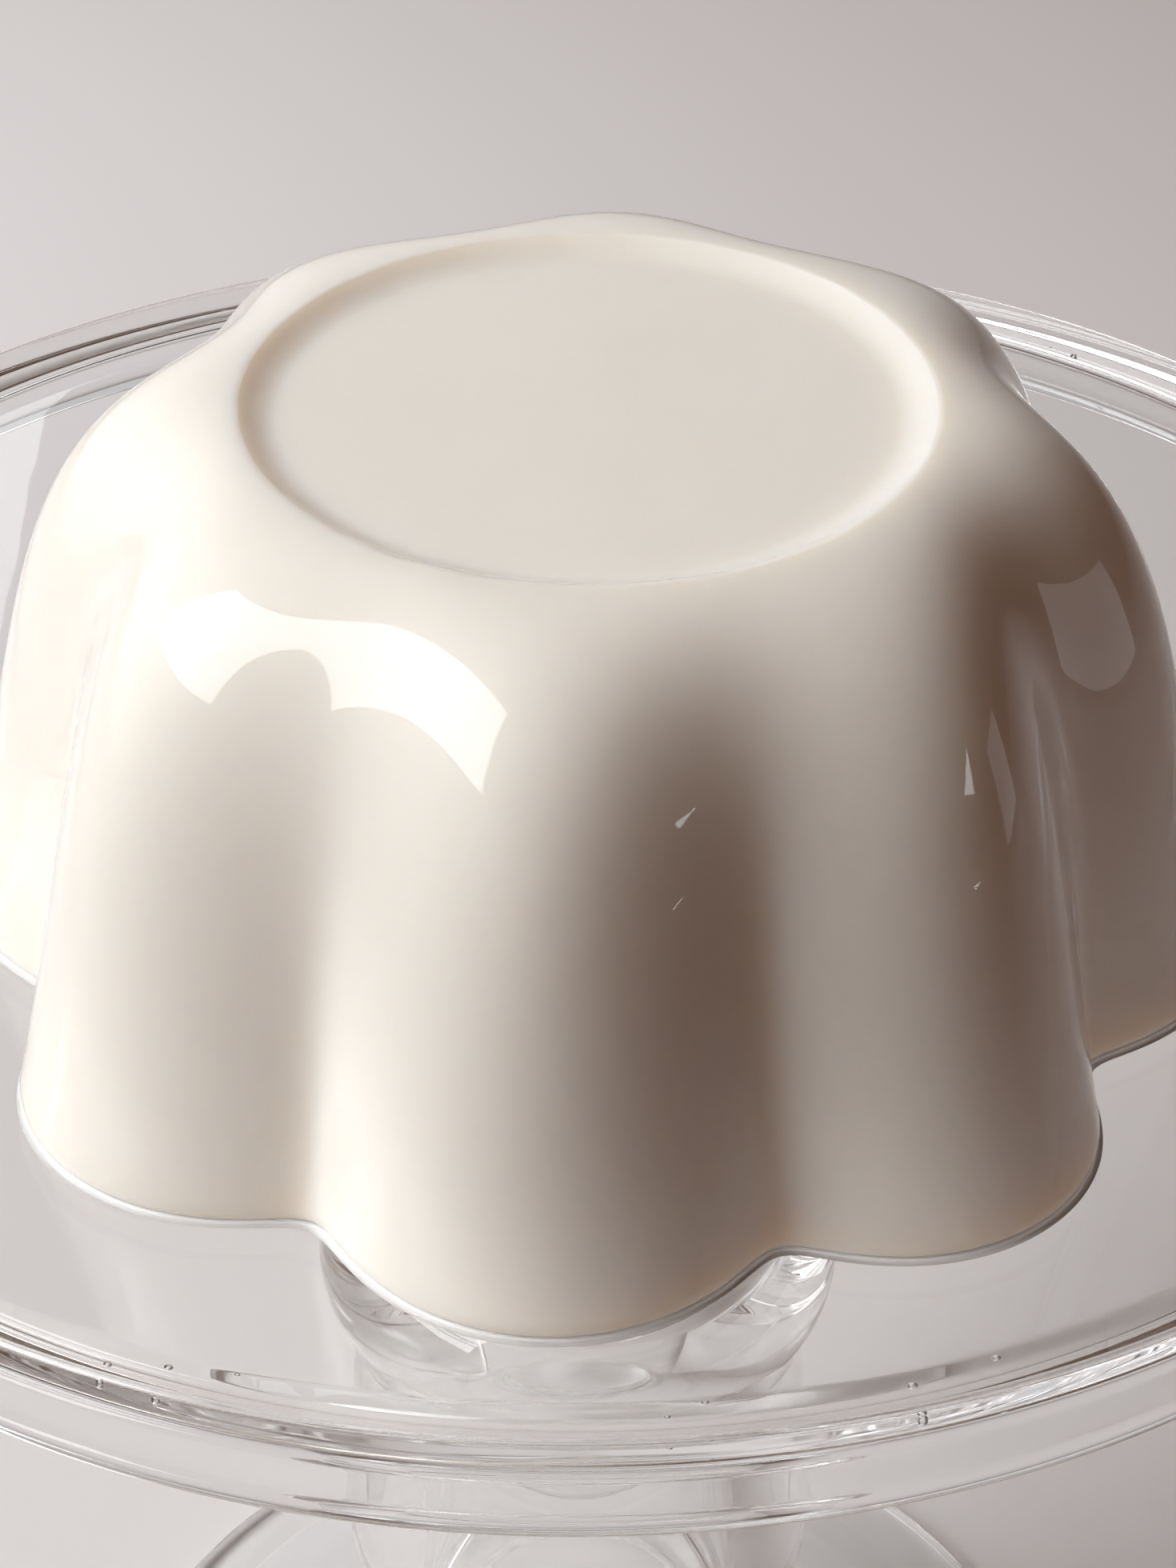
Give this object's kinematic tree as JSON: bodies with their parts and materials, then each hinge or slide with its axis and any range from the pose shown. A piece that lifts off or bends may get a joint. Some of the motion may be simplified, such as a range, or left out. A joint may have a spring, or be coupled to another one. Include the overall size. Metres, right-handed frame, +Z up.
{
  "type": "blancmange",
  "caption": "Fluted blancmange turned out of its mould, with a shallow round recess in the top, standing on a footed cake stand of clear glass.",
  "frame": {"origin": "on the stand's axis, at the level its foot stands on", "axes": "+Z up along the stand's axis; the blancmange stands nearer the front of the plate, which is -Y"},
  "size_m": [0.25, 0.25, 0.2545],
  "materials": {
    "milk_pudding": "wet, smooth and slightly translucent",
    "clear_glass": "polished, with a few small seeds"
  },
  "bodies": {
    "root": {"blancmange": "milk_pudding", "cake_stand": "clear_glass"}
  },
  "joints": []
}
